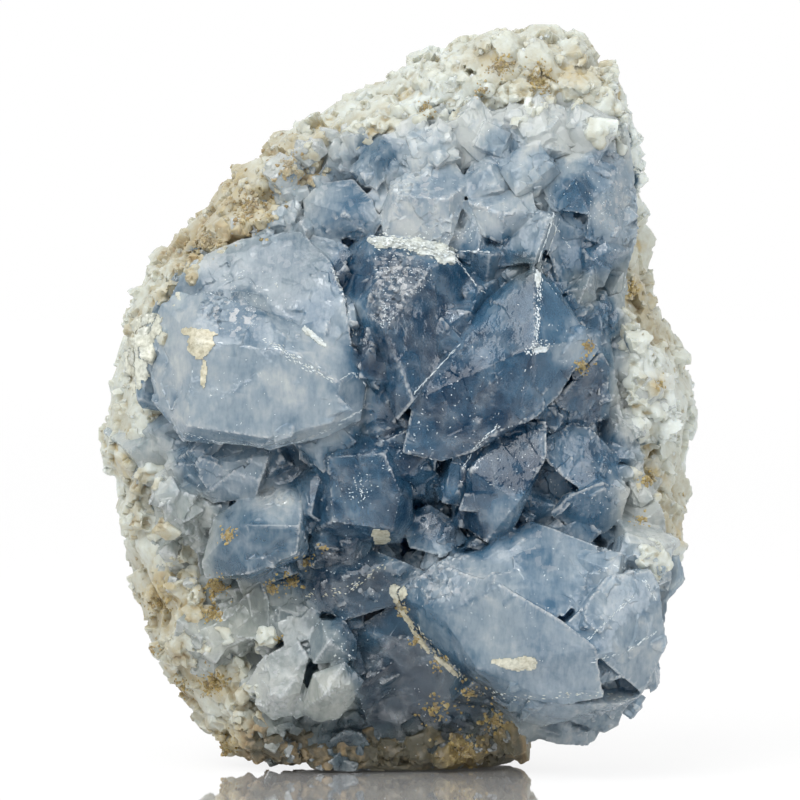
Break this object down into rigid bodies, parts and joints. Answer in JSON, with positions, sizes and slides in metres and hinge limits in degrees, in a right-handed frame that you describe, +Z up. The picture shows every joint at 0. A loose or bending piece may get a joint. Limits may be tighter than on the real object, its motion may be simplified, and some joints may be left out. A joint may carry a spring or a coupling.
{
  "type": "celestite cluster",
  "caption": "Hand specimen of blue celestite crystals grown together over a rough, pale piece of matrix, standing on a small flat spot.",
  "frame": {"origin": "near the middle of the small flat spot that the specimen stands on", "axes": "+Z up, +X to the right as the crystals are faced, and the crystals face -Y"},
  "size_m": [0.0762, 0.0492, 0.094],
  "materials": {
    "matrix": "rough",
    "celestite": "glossy"
  },
  "bodies": {
    "root": {"matrix": "matrix", "crystal_crust": "celestite"}
  },
  "joints": []
}
